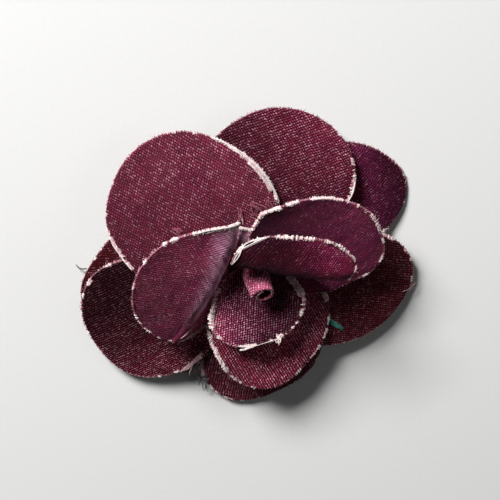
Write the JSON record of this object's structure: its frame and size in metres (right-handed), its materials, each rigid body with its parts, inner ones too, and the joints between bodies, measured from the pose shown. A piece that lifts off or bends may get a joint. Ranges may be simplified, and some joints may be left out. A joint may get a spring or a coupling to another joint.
{
  "type": "flower brooch",
  "caption": "Round layered denim flower brooch with rounded cupped petals, frayed cut edges, a rolled bud and a pin back.",
  "frame": {"origin": "centre of the box round the whole brooch, on the surface that the pin's posts stand on", "axes": "+Z is the flower's axis, out of its front; +X is the right of the flower as it is worn, along the pin; +Y is its top"},
  "size_m": [0.0896, 0.0863, 0.0318],
  "materials": {
    "petal_denim": "matt burgundy twill with white specks and raw frayed edges",
    "bud_denim": "matt burgundy twill with white specks",
    "backing": "plain matt burgundy cloth",
    "pin_metal": "plain nickel-coloured steel"
  },
  "bodies": {
    "root": {"backing_disc": "backing", "brooch_pin": "pin_metal", "petal_left": "petal_denim", "petal_right_upper": "petal_denim", "petal_bottom": "petal_denim", "petal_right_lower": "petal_denim", "petal_left_lower": "petal_denim", "petal_top": "petal_denim", "petal_top_left": "petal_denim", "petal_mid_front": "petal_denim", "petal_mid_left": "petal_denim", "petal_mid_right": "petal_denim", "petal_inner_front": "petal_denim", "petal_inner_right": "petal_denim", "bud": "bud_denim"}
  },
  "joints": []
}
